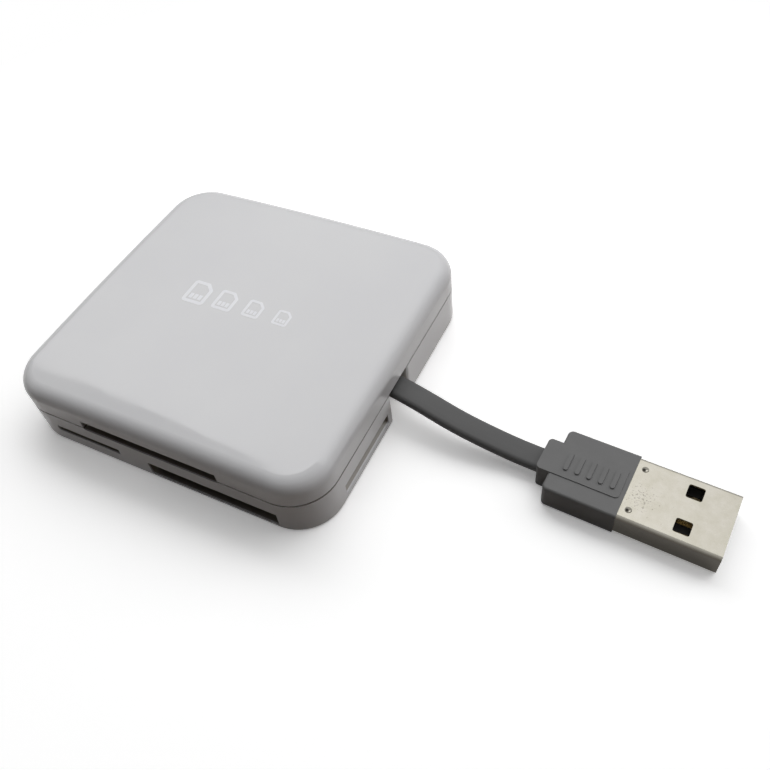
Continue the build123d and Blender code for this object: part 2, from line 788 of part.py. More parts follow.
# Four insulated cores from the stripped end of the lead, up over the board's edge to their solder
core_level = board_top + core_radius + core_end_gap
core_stop = pad_place + solder_length / 2
cores = {}
for i, colour in enumerate(("red", "white", "green", "black")):
    core_y = lead_inner_place + (i - 1.5) * core_pitch
    pad_y = lead_inner_place + (i - 1.5) * pad_pitch
    core_points = [
        (lead_inner_end, core_y, lead_level),
        (lead_inner_end - core_straight, core_y, lead_level),
        (lead_inner_end - core_hump_reach, (core_y + pad_y) / 2, lead_level + core_hump),
        (core_stop + core_straight, pad_y, core_level),
        (core_stop, pad_y, core_level)]
    with BuildPart() as core:
        with BuildLine() as core_path:
            FilletPolyline(*core_points, radius=core_bend)
        with BuildSketch(Plane(core_points[0], x_dir=(0, 1, 0), z_dir=(-1, 0, 0))):
            Circle(core_radius)
        sweep(path=core_path.wires()[0])
    core.part.label = f"core_{colour}"
    cores[f"core_{colour}"] = core.part

# Solder that holds the cores on the board
with BuildPart() as solder_joints:
    with BuildSketch(Plane.XY.offset(board_top)):
        with Locations((pad_place, lead_inner_place)):
            with GridLocations(0, pad_pitch, 1, 4):
                Rectangle(solder_length, solder_width)
    extrude(amount=solder_height)
    fillet(solder_joints.faces().filter_by(Axis.Z).group_by(Axis.Z)[-1].edges(), solder_edge)
solder_joints.part.label = "solder_joints"

# One file for each piece
pieces = [
    top_cover.part, bottom_cover.part, circuit_board.part, *socket_pieces.values(),
    controller_chip.part, controller_leads.part, crystal.part, status_lamp.part,
    capacitors.part, resistors.part, regulator.part, *cores.values(), solder_joints.part,
    flat_lead.part, plug_grip.part, plug_tube.part, plug_tongue.part, plug_contacts.part]
os.makedirs("parts", exist_ok=True)
for piece in pieces:
    export_step(piece, f"parts/{piece.label}.step")
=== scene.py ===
from math import cos, pi, radians, sin

import bmesh
import bpy
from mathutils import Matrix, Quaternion, Vector


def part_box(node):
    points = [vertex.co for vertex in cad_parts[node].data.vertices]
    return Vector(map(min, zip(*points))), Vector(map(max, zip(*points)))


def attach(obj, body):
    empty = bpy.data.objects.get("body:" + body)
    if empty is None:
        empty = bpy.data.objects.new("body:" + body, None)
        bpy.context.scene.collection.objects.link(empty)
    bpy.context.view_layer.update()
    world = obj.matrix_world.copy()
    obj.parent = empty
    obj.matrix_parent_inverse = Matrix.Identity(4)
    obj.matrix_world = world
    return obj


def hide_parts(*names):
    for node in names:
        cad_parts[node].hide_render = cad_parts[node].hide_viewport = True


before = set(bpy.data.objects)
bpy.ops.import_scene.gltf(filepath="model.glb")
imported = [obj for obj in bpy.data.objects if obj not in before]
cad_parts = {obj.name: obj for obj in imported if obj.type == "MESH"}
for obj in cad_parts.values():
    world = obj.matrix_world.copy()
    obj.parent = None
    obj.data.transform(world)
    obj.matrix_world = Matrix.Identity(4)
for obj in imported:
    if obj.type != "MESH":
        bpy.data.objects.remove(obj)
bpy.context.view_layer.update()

# Lower half of the case: a tub with the card slots and the notch for the lead.
# Injection moulded in white ABS in a polished tool, and held to the upper half by pressed pins.
mm = 0.001


def linear(code):
    channels = [int(code[i:i + 2], 16) / 255 for i in (1, 3, 5)]
    return (*[c / 12.92 if c <= 0.04045 else ((c + 0.055) / 1.055) ** 2.4 for c in channels], 1.0)


def add_node(tree, kind, inputs, **settings):
    node = tree.nodes.new(kind)
    for name, value in settings.items():
        setattr(node, name, value)
    for name, value in inputs.items():
        if isinstance(value, bpy.types.NodeSocket):
            tree.links.new(value, node.inputs[name])
        else:
            node.inputs[name].default_value = value
    return node


def start_material(name, colour, roughness, metallic=0.0):
    material = bpy.data.materials.new(name)
    material.use_nodes = True
    shader = material.node_tree.nodes["Principled BSDF"]
    shader.inputs["Base Color"].default_value = linear(colour)
    shader.inputs["Roughness"].default_value = roughness
    shader.inputs["Metallic"].default_value = metallic
    return material, material.node_tree, shader


def dress(node, material):
    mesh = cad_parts[node].data
    mesh.materials.clear()
    mesh.materials.append(material)


# The plastic is a soft white under a clear gloss that waves a little, and the handled walls are duller.
# The groove between the halves is painted darker, a painted shade that draws it as a dark hairline, full at
# the front and half as strong at the back.
# The inner faces are painted darker too, a painted shade that makes the mouths of the slots look dark
case_abs, tree, shader = start_material("glossy white ABS", "#dfdfe1", 0.05)
shader.inputs["IOR"].default_value = 1.53
place = add_node(tree, "ShaderNodeTexCoord", {})
case_axes = add_node(tree, "ShaderNodeSeparateXYZ", {0: place.outputs["Object"]})
groove_level = 7.785 * mm
groove_half = 0.205 * mm
in_groove = add_node(tree, "ShaderNodeMath", {
    0: case_axes.outputs["Z"], 1: groove_level, 2: groove_half}, operation="COMPARE")
aged_width = 16 * mm
ageing = add_node(tree, "ShaderNodeTexNoise", {
    "Vector": place.outputs["Object"], "Scale": 1 / aged_width, "Detail": 3.0, "Roughness": 0.5})
white_tone = add_node(tree, "ShaderNodeMix", {
    0: ageing.outputs["Fac"], 6: linear("#dbdbde"), 7: linear("#e2e2e3")}, data_type="RGBA")
case_half_width = 31.0 * mm
case_half_depth = 29.5 * mm
corner_radius = 7.8 * mm
far_above = 1.0
corner_middle = (case_half_width - corner_radius, case_half_depth - corner_radius, far_above)
skin_depth = 0.25 * mm
foot_level = 0.3 * mm
shoulder_level = 11.0 * mm
quarter = add_node(tree, "ShaderNodeVectorMath", {0: place.outputs["Object"]}, operation="ABSOLUTE")
past_middle = add_node(tree, "ShaderNodeVectorMath", {
    0: quarter.outputs["Vector"], 1: corner_middle}, operation="SUBTRACT")
in_corner = add_node(tree, "ShaderNodeVectorMath", {
    0: past_middle.outputs["Vector"], 1: (0, 0, 0)}, operation="MAXIMUM")
reach = add_node(tree, "ShaderNodeVectorMath", {0: in_corner.outputs["Vector"]}, operation="LENGTH")
under_skin = add_node(tree, "ShaderNodeMath", {
    0: reach.outputs["Value"], 1: corner_radius - skin_depth}, operation="LESS_THAN")
below_shoulder = add_node(tree, "ShaderNodeMath", {
    0: case_axes.outputs["Z"], 1: (foot_level + shoulder_level) / 2, 2: (shoulder_level - foot_level) / 2},
    operation="COMPARE")
# Painted shade: faces under the outer skin, between foot and shoulder, are painted a darker grey
inside = add_node(tree, "ShaderNodeMath", {
    0: under_skin.outputs[0], 1: below_shoulder.outputs[0]}, operation="MULTIPLY")
inner_shaded_tone = add_node(tree, "ShaderNodeMix", {
    0: inside.outputs[0], 6: white_tone.outputs[2], 7: linear("#aaa49c")}, data_type="RGBA")
# Painted shade in the groove between the halves: full at the front, fading to half as strong from the middle
# back
groove_shade_full_y = -24 * mm
groove_shade_half_y = 2 * mm
groove_shade_fade = add_node(tree, "ShaderNodeMapRange", {
    "Value": case_axes.outputs["Y"], "From Min": groove_shade_full_y, "From Max": groove_shade_half_y,
    "To Min": 1.0, "To Max": 0.5})
groove_shade = add_node(tree, "ShaderNodeMath", {
    0: in_groove.outputs[0], 1: groove_shade_fade.outputs["Result"]}, operation="MULTIPLY")
groove_shaded_tone = add_node(tree, "ShaderNodeMix", {
    0: groove_shade.outputs[0], 6: inner_shaded_tone.outputs[2], 7: linear("#68615b")}, data_type="RGBA")
tree.links.new(groove_shaded_tone.outputs[2], shader.inputs["Base Color"])
wave_width = 18 * mm
wave_height = 0.06 * mm
waves = add_node(tree, "ShaderNodeTexNoise", {
    "Vector": place.outputs["Object"], "Scale": 1 / wave_width, "Detail": 1.0, "Roughness": 0.4})
smudge_width = 5 * mm
smudges = add_node(tree, "ShaderNodeTexNoise", {
    "Vector": place.outputs["Object"], "Scale": 1 / smudge_width, "Detail": 4.0, "Roughness": 0.6})
smudge_gloss = add_node(tree, "ShaderNodeMapRange", {
    "Value": smudges.outputs["Fac"], "From Min": 0.35, "From Max": 0.7, "To Min": 0.03, "To Max": 0.07})
rolled_edge_top = 13.3 * mm
dull_walls = add_node(tree, "ShaderNodeMapRange", {
    "Value": case_axes.outputs["Z"], "From Min": shoulder_level, "From Max": rolled_edge_top,
    "To Min": 0.17, "To Max": 0.0})
case_gloss = add_node(tree, "ShaderNodeMath", {
    0: smudge_gloss.outputs["Result"], 1: dull_walls.outputs["Result"]})
tree.links.new(case_gloss.outputs[0], shader.inputs["Roughness"])
gloss_waves = add_node(tree, "ShaderNodeBump", {
    "Height": waves.outputs["Fac"], "Strength": 1.0, "Distance": wave_height})
tree.links.new(gloss_waves.outputs["Normal"], shader.inputs["Normal"])
dress("bottom_cover", case_abs)

# Circuit board: a sheet of glass and epoxy with etched copper tracks under green lacquer.
# It lies on the posts of the lower half, and the bosses of the upper half press it down.
# The lacquer is a smooth deep green, and the tracks under it show as paler lines
board_laminate, tree, shader = start_material("lacquered glass epoxy board", "#1f5c36", 0.3)
place = add_node(tree, "ShaderNodeTexCoord", {})
track_pitch = 4 * mm
tracks = add_node(tree, "ShaderNodeTexVoronoi", {
    "Vector": place.outputs["Object"], "Scale": 1 / track_pitch, "Randomness": 0.75},
    feature="DISTANCE_TO_EDGE")
track_edge = add_node(tree, "ShaderNodeMapRange", {
    "Value": tracks.outputs["Distance"], "From Min": 0.05, "From Max": 0.09, "To Min": 1.0, "To Max": 0.0})
lacquer = add_node(tree, "ShaderNodeMix", {
    0: track_edge.outputs["Result"], 6: linear("#1f5c36"), 7: linear("#3a8a50")}, data_type="RGBA")
tree.links.new(lacquer.outputs[2], shader.inputs["Base Color"])
dress("circuit_board", board_laminate)

# Four card sockets: each a moulded tray, a folded sheet cover and a row of spring contacts.
# The trays are black polymer, the covers stamped from bright sheet steel and soldered to the board,
# and the contacts are gold-flashed bronze strips, bent up into the card's bay.


def vary_gloss(tree, shader, marks, sharpest, dullest):
    gloss = add_node(tree, "ShaderNodeMapRange", {
        "Value": marks.outputs["Fac"], "From Min": 0.3, "From Max": 0.7,
        "To Min": sharpest, "To Max": dullest})
    tree.links.new(gloss.outputs["Result"], shader.inputs["Roughness"])


# The polymer is matt and nearly black, with the flow marks of its glass filling
socket_polymer, tree, shader = start_material("black glass-filled polymer", "#1d1b1a", 0.5)
place = add_node(tree, "ShaderNodeTexCoord", {})
flow_width = 0.8 * mm
flow_marks = add_node(tree, "ShaderNodeTexNoise", {
    "Vector": place.outputs["Object"], "Scale": 1 / flow_width, "Detail": 3.0})
vary_gloss(tree, shader, flow_marks, 0.42, 0.62)

# Rolled steel shows fine lines along the sheet and a cool, half-sharp reflection
socket_steel, tree, shader = start_material("rolled stainless steel sheet", "#7b7975", 0.32, 1.0)
place = add_node(tree, "ShaderNodeTexCoord", {})
roll_width = 0.12 * mm
roll_length = 6 * mm
along_sheet = add_node(tree, "ShaderNodeMapping", {
    "Vector": place.outputs["Object"], "Scale": (1 / roll_width, 1 / roll_length, 1 / roll_width)})
roll_lines = add_node(tree, "ShaderNodeTexNoise", {
    "Vector": along_sheet.outputs["Vector"], "Scale": 1.0, "Detail": 2.0})
vary_gloss(tree, shader, roll_lines, 0.25, 0.42)

# A thin gold coat, warm and bright, duller in patches where the contact rubs
contact_gold, tree, shader = start_material("gold flash on bronze", "#b9a883", 0.22, 1.0)
place = add_node(tree, "ShaderNodeTexCoord", {})
rub_width = 0.7 * mm
rub_marks = add_node(tree, "ShaderNodeTexNoise", {
    "Vector": place.outputs["Object"], "Scale": 1 / rub_width, "Detail": 2.0})
vary_gloss(tree, shader, rub_marks, 0.16, 0.34)

for card in ("upper", "micro", "stick", "side"):
    dress(f"{card}_socket_base", socket_polymer)
    dress(f"{card}_socket_shell", socket_steel)
    dress(f"{card}_socket_contacts", contact_gold)

# Small parts soldered on the board: a chip with its leads, a crystal in a metal can, an indicator lamp,
# chip capacitors, chip resistors and a voltage regulator.
# Moulded epoxy is a dull black with a sandy grain from the tool
chip_epoxy, tree, shader = start_material("black moulded epoxy", "#1c1c1d", 0.62)
place = add_node(tree, "ShaderNodeTexCoord", {})
sand_width = 0.12 * mm
sand_depth = 0.01 * mm
tool_grain = add_node(tree, "ShaderNodeTexNoise", {
    "Vector": place.outputs["Object"], "Scale": 1 / sand_width})
sandy_skin = add_node(tree, "ShaderNodeBump", {
    "Height": tool_grain.outputs["Fac"], "Strength": 0.6, "Distance": sand_depth})
tree.links.new(sandy_skin.outputs["Normal"], shader.inputs["Normal"])
dress("controller_chip", chip_epoxy)
dress("regulator", chip_epoxy)

# Tin is a pale, slightly grey metal with a satin skin
tinned_copper, tree, shader = start_material("tinned copper", "#c9c9c6", 0.36, 1.0)
place = add_node(tree, "ShaderNodeTexCoord", {})
tin_width = 0.3 * mm
tin_grain = add_node(tree, "ShaderNodeTexNoise", {
    "Vector": place.outputs["Object"], "Scale": 1 / tin_width})
vary_gloss(tree, shader, tin_grain, 0.26, 0.46)
dress("controller_leads", tinned_copper)
dress("solder_joints", tinned_copper)

# The can is drawn from nickel silver, smooth and a little warm
can_metal, tree, shader = start_material("drawn nickel silver", "#cfcabd", 0.24, 1.0)
place = add_node(tree, "ShaderNodeTexCoord", {})
draw_width = 1.5 * mm
draw_marks = add_node(tree, "ShaderNodeTexNoise", {
    "Vector": place.outputs["Object"], "Scale": 1 / draw_width})
vary_gloss(tree, shader, draw_marks, 0.18, 0.32)
dress("crystal", can_metal)

# Clear epoxy lets light through and has a wet gloss, a little cloudy where it was cast
lamp_epoxy, tree, shader = start_material("clear epoxy", "#eef1ea", 0.08)
shader.inputs["Transmission Weight"].default_value = 0.85
shader.inputs["IOR"].default_value = 1.5
place = add_node(tree, "ShaderNodeTexCoord", {})
cloud_width = 0.6 * mm
clouds = add_node(tree, "ShaderNodeTexNoise", {
    "Vector": place.outputs["Object"], "Scale": 1 / cloud_width})
vary_gloss(tree, shader, clouds, 0.05, 0.14)
dress("status_lamp", lamp_epoxy)

# Ceramic chips: a tan or black body, with tinned ends to solder
bare_half = 0.5 * mm
for node, body_colour in (("capacitors", "#b08d62"), ("resistors", "#202022")):
    ceramic, tree, shader = start_material(f"ceramic of the {node}", body_colour, 0.45)
    low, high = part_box(node)
    middle = (low[1] + high[1]) / 2
    place = add_node(tree, "ShaderNodeTexCoord", {})
    axes = add_node(tree, "ShaderNodeSeparateXYZ", {0: place.outputs["Object"]})
    from_middle = add_node(tree, "ShaderNodeMath", {0: axes.outputs["Y"], 1: middle}, operation="SUBTRACT")
    reach = add_node(tree, "ShaderNodeMath", {0: from_middle.outputs[0]}, operation="ABSOLUTE")
    tin_end = add_node(tree, "ShaderNodeMath", {0: reach.outputs[0], 1: bare_half}, operation="GREATER_THAN")
    two_tone = add_node(tree, "ShaderNodeMix", {
        0: tin_end.outputs[0], 6: linear(body_colour), 7: linear("#c9c9c6")}, data_type="RGBA")
    tree.links.new(two_tone.outputs[2], shader.inputs["Base Color"])
    tree.links.new(tin_end.outputs[0], shader.inputs["Metallic"])
    dress(node, ceramic)

# Cores of the lead: four stranded wires in coloured PVC, soldered to the board.
# The insulation is soft and smooth, with a dull shine that follows the strands under it
strand_width = 0.4 * mm
for colour, code in (("red", "#b3262a"), ("white", "#e2e0da"), ("green", "#2f8a4c"), ("black", "#202021")):
    core_pvc, tree, shader = start_material(f"{colour} core PVC", code, 0.42)
    place = add_node(tree, "ShaderNodeTexCoord", {})
    strand_marks = add_node(tree, "ShaderNodeTexNoise", {
        "Vector": place.outputs["Object"], "Scale": 1 / strand_width})
    vary_gloss(tree, shader, strand_marks, 0.34, 0.5)
    dress(f"core_{colour}", core_pvc)

# Insulator and contacts of the plug: a black moulded tongue with four gold-flashed strips in its grooves.
# The polymer and the gold are those of the card sockets, and the plug's metal is folded round both.
dress("plug_tongue", socket_polymer)
dress("plug_contacts", contact_gold)

# Metal of the plug: one strip of steel, blanked with its latch holes, folded round the tongue
# and nickel plated. Two punched dimples near the grip hold the tongue, and the grip is moulded over its end.
plug_front = Vector((71.93 * mm, -3.42 * mm, 0))
plug_turn = radians(-3.44)
plug_top = 4.7 * mm
# Spot of the painted shade in the two dimples
dimple_shade_spot = (1.14 * mm, 4.0 * mm, plug_top - 0.15 * mm)
scuff_spot = (2.4 * mm, -1.2 * mm, plug_top)
plug_half_width = 6.0 * mm

# Nickel is a warm grey mirror dulled by rolling lines and stains, with pits where it was gripped.
# The dimples are painted as dark dots, a painted shade in their hollows, and the folded sides are painted
# darker than the top, a painted dark reflection and shade
plug_nickel, tree, shader = start_material("nickel plated steel", "#918e85", 0.2, 1.0)
place = add_node(tree, "ShaderNodeTexCoord", {})
along_plug = add_node(tree, "ShaderNodeMapping", {
    "Vector": place.outputs["Object"], "Rotation": (0, 0, -plug_turn),
    "Location": -(Quaternion((0, 0, 1), -plug_turn) @ plug_front)})
line_length = 4 * mm
line_width = 0.12 * mm
line_depth = 0.002 * mm
line_stretch = add_node(tree, "ShaderNodeMapping", {
    "Vector": along_plug.outputs["Vector"], "Scale": (1 / line_length, 1 / line_width, 1 / line_width)})
rolling = add_node(tree, "ShaderNodeTexNoise", {
    "Vector": line_stretch.outputs["Vector"], "Scale": 1.0, "Detail": 2.0})
rolling_skin = add_node(tree, "ShaderNodeBump", {
    "Height": rolling.outputs["Fac"], "Strength": 0.5, "Distance": line_depth})
tree.links.new(rolling_skin.outputs["Normal"], shader.inputs["Normal"])
stain_width = 2.0 * mm
stains = add_node(tree, "ShaderNodeTexNoise", {
    "Vector": along_plug.outputs["Vector"], "Scale": 1 / stain_width, "Detail": 5.0, "Roughness": 0.65})
vary_gloss(tree, shader, stains, 0.16, 0.24)
stain_strength = add_node(tree, "ShaderNodeMapRange", {
    "Value": stains.outputs["Fac"], "From Min": 0.35, "From Max": 0.65})
nickel_tone = add_node(tree, "ShaderNodeMix", {
    0: stain_strength.outputs["Result"], 6: linear("#8d8a80"), 7: linear("#95928a")}, data_type="RGBA")
from_scuff = add_node(tree, "ShaderNodeVectorMath", {
    0: along_plug.outputs["Vector"], 1: scuff_spot}, operation="DISTANCE")
scuff_core = 0.8 * mm
scuff_reach = 4.0 * mm
scuff_fade = add_node(tree, "ShaderNodeMapRange", {
    "Value": from_scuff.outputs["Value"], "From Min": scuff_core, "From Max": scuff_reach,
    "To Min": 0.14, "To Max": 0.0})
pit_width = 0.36 * mm
pits = add_node(tree, "ShaderNodeTexNoise", {
    "Vector": along_plug.outputs["Vector"], "Scale": 1 / pit_width, "Detail": 3.0, "Roughness": 0.6})
pit_level = add_node(tree, "ShaderNodeMath", {0: pits.outputs["Fac"], 1: scuff_fade.outputs["Result"]})
pitted = add_node(tree, "ShaderNodeMapRange", {
    "Value": pit_level.outputs[0], "From Min": 0.68, "From Max": 0.76, "To Min": 0.0, "To Max": 0.5})
scuffed_tone = add_node(tree, "ShaderNodeMix", {
    0: pitted.outputs["Result"], 6: nickel_tone.outputs[2], 7: linear("#423e36")}, data_type="RGBA")
either_side = add_node(tree, "ShaderNodeVectorMath", {0: along_plug.outputs["Vector"]}, operation="ABSOLUTE")
# Painted shade: the two dimples are painted nearly black in their hollows
from_dimple = add_node(tree, "ShaderNodeVectorMath", {
    0: either_side.outputs["Vector"], 1: dimple_shade_spot}, operation="DISTANCE")
dimple_shade_core = 0.2 * mm
dimple_shade_reach = 0.34 * mm
in_dimple = add_node(tree, "ShaderNodeMapRange", {
    "Value": from_dimple.outputs["Value"], "From Min": dimple_shade_core, "From Max": dimple_shade_reach,
    "To Min": 0.95, "To Max": 0.0})
dimple_shaded_tone = add_node(tree, "ShaderNodeMix", {
    0: in_dimple.outputs["Result"], 6: scuffed_tone.outputs[2], 7: linear("#1c1a17")}, data_type="RGBA")
# Painted dark reflection and shade: the folded sides of the plug are painted darker than its top
across_plug = add_node(tree, "ShaderNodeSeparateXYZ", {0: either_side.outputs["Vector"]})
fold_start = plug_half_width - 0.35 * mm
fold_end = plug_half_width - 0.05 * mm
side_shade = add_node(tree, "ShaderNodeMapRange", {
    "Value": across_plug.outputs["Y"], "From Min": fold_start, "From Max": fold_end})
shaded_plug_tone = add_node(tree, "ShaderNodeMix", {
    0: side_shade.outputs["Result"], 6: dimple_shaded_tone.outputs[2], 7: linear("#534f48")}, data_type="RGBA")
tree.links.new(shaded_plug_tone.outputs[2], shader.inputs["Base Color"])
dress("plug_tube", plug_nickel)

# Grip of the plug: soft grey PVC moulded over the metal and the end of the lead in one shot.
# The tool was spark eroded, so the skin is a dull grey with a fine sandy grain
grip_pvc, tree, shader = start_material("spark-textured grey PVC", "#7b7b7b", 0.55)
shader.inputs["Specular IOR Level"].default_value = 0.2
place = add_node(tree, "ShaderNodeTexCoord", {})
grain_width = 0.22 * mm
grain_depth = 0.012 * mm
spark_grain = add_node(tree, "ShaderNodeTexNoise", {
    "Vector": place.outputs["Object"], "Scale": 1 / grain_width, "Detail": 2.0})
spark_skin = add_node(tree, "ShaderNodeBump", {
    "Height": spark_grain.outputs["Fac"], "Strength": 0.5, "Distance": grain_depth})
tree.links.new(spark_skin.outputs["Normal"], shader.inputs["Normal"])
handled_width = 3 * mm
handling = add_node(tree, "ShaderNodeTexNoise", {
    "Vector": place.outputs["Object"], "Scale": 1 / handled_width, "Detail": 3.0})
grip_tone = add_node(tree, "ShaderNodeMix", {
    0: handling.outputs["Fac"], 6: linear("#777777"), 7: linear("#808080")}, data_type="RGBA")
tree.links.new(grip_tone.outputs[2], shader.inputs["Base Color"])
dress("plug_grip", grip_pvc)

# Jacket of the lead: a flat grey PVC extrusion over the four cores.
# It is clamped inside the case and moulded into the neck of the grip.
lead_width = 4.4 * mm
lead_thickness = 1.8 * mm
lead_edge = 0.75 * mm
lead_route = [
    (22.8, 0.35, 6.2), (28.5, 0.35, 6.2), (35.5, -0.95, 5.95), (42.5, -2.05, 4.75),
    (48.0, -2.28, 3.62), (52.0, -2.28, 2.75), (55.06, -2.406, 2.45), (57.855, -2.574, 2.45)]
lead_curve = bpy.data.curves.new("lead_line", "CURVE")
lead_curve.dimensions = "3D"
lead_curve.resolution_u = 16
line = lead_curve.splines.new("NURBS")
line.points.add(len(lead_route) - 1)
for point, spot in zip(line.points, lead_route):
    point.co = (*[c * mm for c in spot], 1.0)
line.order_u = 3
line.use_endpoint_u = True
line_object = bpy.data.objects.new("lead_line", lead_curve)
bpy.context.collection.objects.link(line_object)
line_mesh = bpy.data.meshes.new_from_object(
    line_object.evaluated_get(bpy.context.evaluated_depsgraph_get()))
lead_line = [vertex.co.copy() for vertex in line_mesh.vertices]
bpy.data.objects.remove(line_object)

corner_steps = 6
section = []
for quarter in range(4):
    middle_across = (lead_width / 2 - lead_edge) * (1 if quarter in (0, 3) else -1)
    middle_up = (lead_thickness / 2 - lead_edge) * (1 if quarter in (0, 1) else -1)
    for step in range(corner_steps + 1):
        angle = (quarter + step / corner_steps) * pi / 2
        section.append((middle_across + lead_edge * cos(angle), middle_up + lead_edge * sin(angle)))

jacket_mesh = bpy.data.meshes.new("lead_jacket")
work = bmesh.new()
uv = work.loops.layers.uv.new("lead_uv")
rings = []
along = [0.0]
for a, b in zip(lead_line, lead_line[1:]):
    along.append(along[-1] + (b - a).length)
for i, spot in enumerate(lead_line):
    ahead = lead_line[min(i + 1, len(lead_line) - 1)]
    behind = lead_line[max(i - 1, 0)]
    across = (ahead - behind).cross(Vector((0, 0, 1))).normalized()
    up = across.cross(ahead - behind).normalized()
    rings.append([work.verts.new(spot + across * x + up * z) for x, z in section])
for i in range(len(rings) - 1):
    for j in range(len(section)):
        k = (j + 1) % len(section)
        face = work.faces.new((rings[i][j], rings[i + 1][j], rings[i + 1][k], rings[i][k]))
        face.smooth = True
        for loop, (u, v) in zip(face.loops, ((i, j), (i + 1, j), (i + 1, j + 1), (i, j + 1))):
            loop[uv].uv = (along[u] / along[-1], v / len(section))
work.faces.new(rings[0])
work.faces.new(rings[-1])
bmesh.ops.recalc_face_normals(work, faces=work.faces)
work.to_mesh(jacket_mesh)
work.free()
jacket_mesh.set_sharp_from_angle(angle=radians(50))
lead_jacket = bpy.data.objects.new("lead_jacket", jacket_mesh)
bpy.context.collection.objects.link(lead_jacket)

# Extruded PVC is a dull even grey with faint drawn lines along its length
lead_pvc, tree, shader = start_material("extruded grey PVC", "#646464", 0.5)
shader.inputs["Specular IOR Level"].default_value = 0.2
along_lead = add_node(tree, "ShaderNodeUVMap", {}, uv_map="lead_uv")
drawn_length = 9 * mm
drawn_width = 0.25 * mm
drawn_depth = 0.01 * mm
lead_girth = 2 * (lead_width + lead_thickness)
drawn_stretch = add_node(tree, "ShaderNodeMapping", {
    "Vector": along_lead.outputs["UV"],
    "Scale": (along[-1] / drawn_length, lead_girth / drawn_width, 1.0)})
drawn_lines = add_node(tree, "ShaderNodeTexNoise", {
    "Vector": drawn_stretch.outputs["Vector"], "Scale": 1.0, "Detail": 2.0})
drawn_skin = add_node(tree, "ShaderNodeBump", {
    "Height": drawn_lines.outputs["Fac"], "Strength": 0.4, "Distance": drawn_depth})
tree.links.new(drawn_skin.outputs["Normal"], shader.inputs["Normal"])
lead_tone = add_node(tree, "ShaderNodeMix", {
    0: drawn_lines.outputs["Fac"], 6: linear("#606060"), 7: linear("#686868")}, data_type="RGBA")
tree.links.new(lead_tone.outputs[2], shader.inputs["Base Color"])
jacket_mesh.materials.append(lead_pvc)
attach(lead_jacket, "root")
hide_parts("flat_lead")

# Upper half of the case: a crowned lid with a soft rolled edge, moulded from the same ABS as the lower half.
# Its pins are pressed through the board into the posts below.
dress("top_cover", case_abs)

# Print on the upper half: a row of card outlines, largest first, for the cards that the slots take.
# It is pad printed in one stroke with white ink, a thin film that follows the crown of the lid.
card_width = 4.0 * mm
card_height = 4.8 * mm
clipped_corner = 1.3 * mm
card_side = card_width / 2
card_end = card_height / 2
card_corners = [
    (-card_side, -card_end, 0), (card_side, -card_end, 0), (card_side, card_end - clipped_corner, 0),
    (card_side - clipped_corner, card_end, 0), (-card_side, card_end, 0)]
card_edges = [(i, (i + 1) % len(card_corners)) for i in range(len(card_corners))]
outline_mesh = bpy.data.meshes.new("card_outline")
outline_mesh.from_pydata(card_corners, card_edges, [])
card_print = bpy.data.objects.new("card_print", outline_mesh)
bpy.context.collection.objects.link(card_print)

# Ink is a flat white film, a little duller than the plastic, and thin in places
print_ink, ink_tree, shader = start_material("white pad-print ink", "#f9faff", 0.25)
place = add_node(ink_tree, "ShaderNodeTexCoord", {})
ink_grain_width = 0.5 * mm
ink_grain = add_node(ink_tree, "ShaderNodeTexNoise", {
    "Vector": place.outputs["Object"], "Scale": 1 / ink_grain_width, "Detail": 2.0})
ink_tone = add_node(ink_tree, "ShaderNodeMix", {
    0: ink_grain.outputs["Fac"], 6: linear("#f3f5fb"), 7: linear("#fdfdff")}, data_type="RGBA")
ink_tree.links.new(ink_tone.outputs[2], shader.inputs["Base Color"])

tree = bpy.data.node_groups.new("printed_card_row", "GeometryNodeTree")
tree.interface.new_socket("Print", in_out="OUTPUT", socket_type="NodeSocketGeometry")
tree.interface.new_socket("Card Outline", in_out="INPUT", socket_type="NodeSocketGeometry")
print_values = {
    "Card Count": ("NodeSocketInt", 4), "Card Pitch": ("NodeSocketFloat", 6.0 * mm),
    "Shrink": ("NodeSocketFloat", 0.86), "Corner Radius": ("NodeSocketFloat", 0.35 * mm),
    "Line Width": ("NodeSocketFloat", 0.7 * mm), "Film": ("NodeSocketFloat", 0.02 * mm),
    "Bar Count": ("NodeSocketInt", 3), "Bar Pitch": ("NodeSocketFloat", 0.95 * mm),
    "Bar Length": ("NodeSocketFloat", 1.2 * mm), "Bar Height": ("NodeSocketFloat", -1.1 * mm),
    "Row Start": ("NodeSocketVector", (-9.5 * mm, 1.0 * mm, 13.8 * mm)),
    "Crown Radius": ("NodeSocketFloat", 900 * mm), "Ink": ("NodeSocketMaterial", print_ink)}
sockets = {
    name: tree.interface.new_socket(name, in_out="INPUT", socket_type=kind).identifier
    for name, (kind, value) in print_values.items()}
given = add_node(tree, "NodeGroupInput", {}).outputs
outline_line = add_node(tree, "GeometryNodeMeshToCurve", {"Mesh": given["Card Outline"]})
outline_round = add_node(tree, "GeometryNodeFilletCurve", {
    "Curve": outline_line.outputs[0], "Count": 5, "Radius": given["Corner Radius"]}, mode="POLY")
line_section = add_node(tree, "GeometryNodeCurvePrimitiveQuadrilateral", {
    "Width": given["Line Width"], "Height": given["Film"]})
outline_film = add_node(tree, "GeometryNodeCurveToMesh", {
    "Curve": outline_round.outputs[0], "Profile Curve": line_section.outputs[0]})
bar_size = add_node(tree, "ShaderNodeCombineXYZ", {
    "X": given["Line Width"], "Y": given["Bar Length"], "Z": given["Film"]})
bar = add_node(tree, "GeometryNodeMeshCube", {"Size": bar_size.outputs[0]})
bar_step = add_node(tree, "ShaderNodeCombineXYZ", {"X": given["Bar Pitch"]})
bars_less_one = add_node(tree, "ShaderNodeMath", {0: given["Bar Count"], 1: 1.0}, operation="SUBTRACT")
bars_reach = add_node(tree, "ShaderNodeMath", {
    0: bars_less_one.outputs[0], 1: given["Bar Pitch"]}, operation="MULTIPLY")
